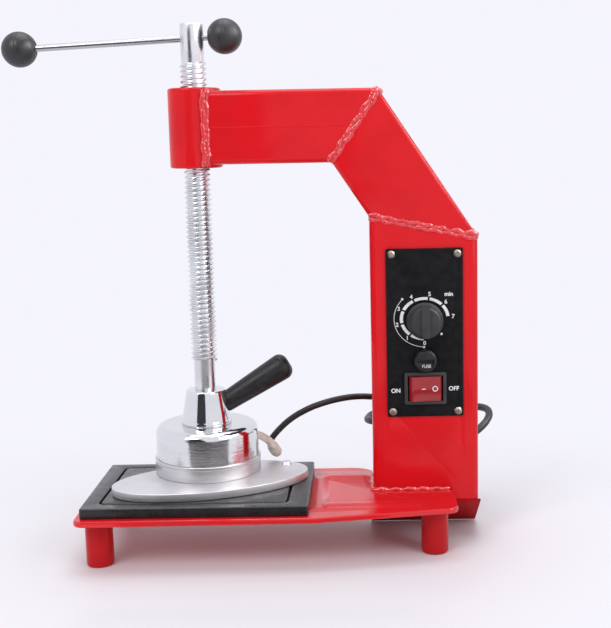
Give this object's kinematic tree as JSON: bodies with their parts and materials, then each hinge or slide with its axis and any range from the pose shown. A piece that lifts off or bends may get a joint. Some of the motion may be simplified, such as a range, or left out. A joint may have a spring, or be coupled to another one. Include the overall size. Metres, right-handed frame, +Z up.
{
  "type": "tire vulcanizer",
  "caption": "Bench tyre vulcanizer: C-frame screw press with a heated oval plate on a swivelling head, a pad on a footed base, and a column with timer, fuse and switch.",
  "frame": {"origin": "middle of the outline, without the cords, on the floor", "axes": "+X from the screw towards the column, +Y from the front to the back, +Z up along the screw"},
  "size_m": [0.367, 0.2153, 0.3941],
  "materials": {
    "red_paint": "gloss",
    "black_rubber": "matte",
    "cord_rubber": "satin",
    "satin_aluminium": "satin",
    "zinc_steel": "zinc plated",
    "dark_steel": "matte",
    "bright_chrome": "polished",
    "brass": "satin",
    "black_plastic": "satin",
    "black_gloss": "gloss",
    "red_plastic": "gloss",
    "grey_plastic": "matte",
    "white_plastic": "matte",
    "beige_fabric": "matte",
    "clear_glass": "clear"
  },
  "bodies": {
    "frame": {"base_plate": "red_paint", "foot_front_left": "red_paint", "foot_front_right": "red_paint", "foot_rear_left": "red_paint", "column_tube": "red_paint", "heel_plate": "red_paint", "neck_tube": "red_paint", "arm_tube": "red_paint", "nut_boss": "red_paint", "pad_tray": "black_rubber", "pad_insert": "black_rubber", "control_panel": "black_plastic", "panel_screws": "zinc_steel", "timer_case": "grey_plastic", "fuse_holder": "black_plastic", "glass_fuse": "clear_glass", "switch_frame": "black_plastic", "terminal_block": "white_plastic", "lead_grommet": "black_rubber", "cord_gland": "black_plastic", "heater_lead_column": "cord_rubber", "mains_cord": "cord_rubber", "cord_coil": "cord_rubber", "cord_tie": "grey_plastic", "plug": "black_plastic", "plug_pins": "brass"},
    "carrier": {"thrust_washer": "brass"},
    "head": {"oval_plate": "satin_aluminium", "plate_screw": "zinc_steel", "heater_block": "satin_aluminium", "heater_element": "dark_steel", "insulation_disc": "beige_fabric", "thermostat": "black_plastic", "heater_cup": "bright_chrome", "cone_bolt": "zinc_steel", "cone_collar": "bright_chrome", "set_screws": "zinc_steel", "grip_stud": "zinc_steel", "head_grip": "black_plastic", "lead_bushing": "black_rubber", "lead_sleeve": "beige_fabric", "heater_lead_head": "cord_rubber"},
    "screw": {"clamp_screw": "zinc_steel"},
    "cross_bar": {"t_bar": "zinc_steel", "ball_knob_left": "black_gloss", "ball_knob_right": "black_gloss"},
    "timer_dial": {"timer_shaft": "zinc_steel", "timer_knob": "black_plastic"},
    "fuse_top": {"fuse_cap": "black_plastic"},
    "switch_rocker": {"rocker": "red_plastic"}
  },
  "joints": [
    {"name": "head_slide", "type": "slide", "parent": "frame", "child": "carrier", "axis": [0, 0, 1], "range_m": [0, 0.0963], "deforming": ["heater_lead_column"]},
    {"name": "head_swivel", "type": "hinge", "parent": "carrier", "child": "head", "pos_m": [-0.03492, 0.02045, 0.1], "axis": [0, 0, 1], "range_deg": [-25, 25], "deforming": ["heater_lead_head"]},
    {"name": "screw_turn", "type": "hinge", "parent": "carrier", "child": "screw", "pos_m": [-0.03492, 0.02045, 0.31], "axis": [0, 0, 1], "range_deg": [0, 9370]},
    {"name": "tbar_slide", "type": "slide", "parent": "screw", "child": "cross_bar", "axis": [0.999, 0, 0.0454], "range_m": [-0.0024, 0.105]},
    {"name": "knob_turn", "type": "hinge", "parent": "frame", "child": "timer_dial", "pos_m": [0.13309, -0.01105, 0.1702], "axis": [0, 1, 0], "range_deg": [-225, 90]},
    {"name": "fuse_cap_turn", "type": "hinge", "parent": "frame", "child": "fuse_top", "pos_m": [0.13309, -0.00605, 0.1403], "axis": [0, 1, 0], "range_deg": [-90, 0]},
    {"name": "rocker_tilt", "type": "hinge", "parent": "frame", "child": "switch_rocker", "pos_m": [0.13309, 0.00195, 0.1188], "axis": [0, 0, -1], "range_deg": [0, 16]}
  ],
  "couplings": [
    {"joint": "screw_turn", "follows": "head_slide", "rad_per_m": 1698.2}
  ]
}
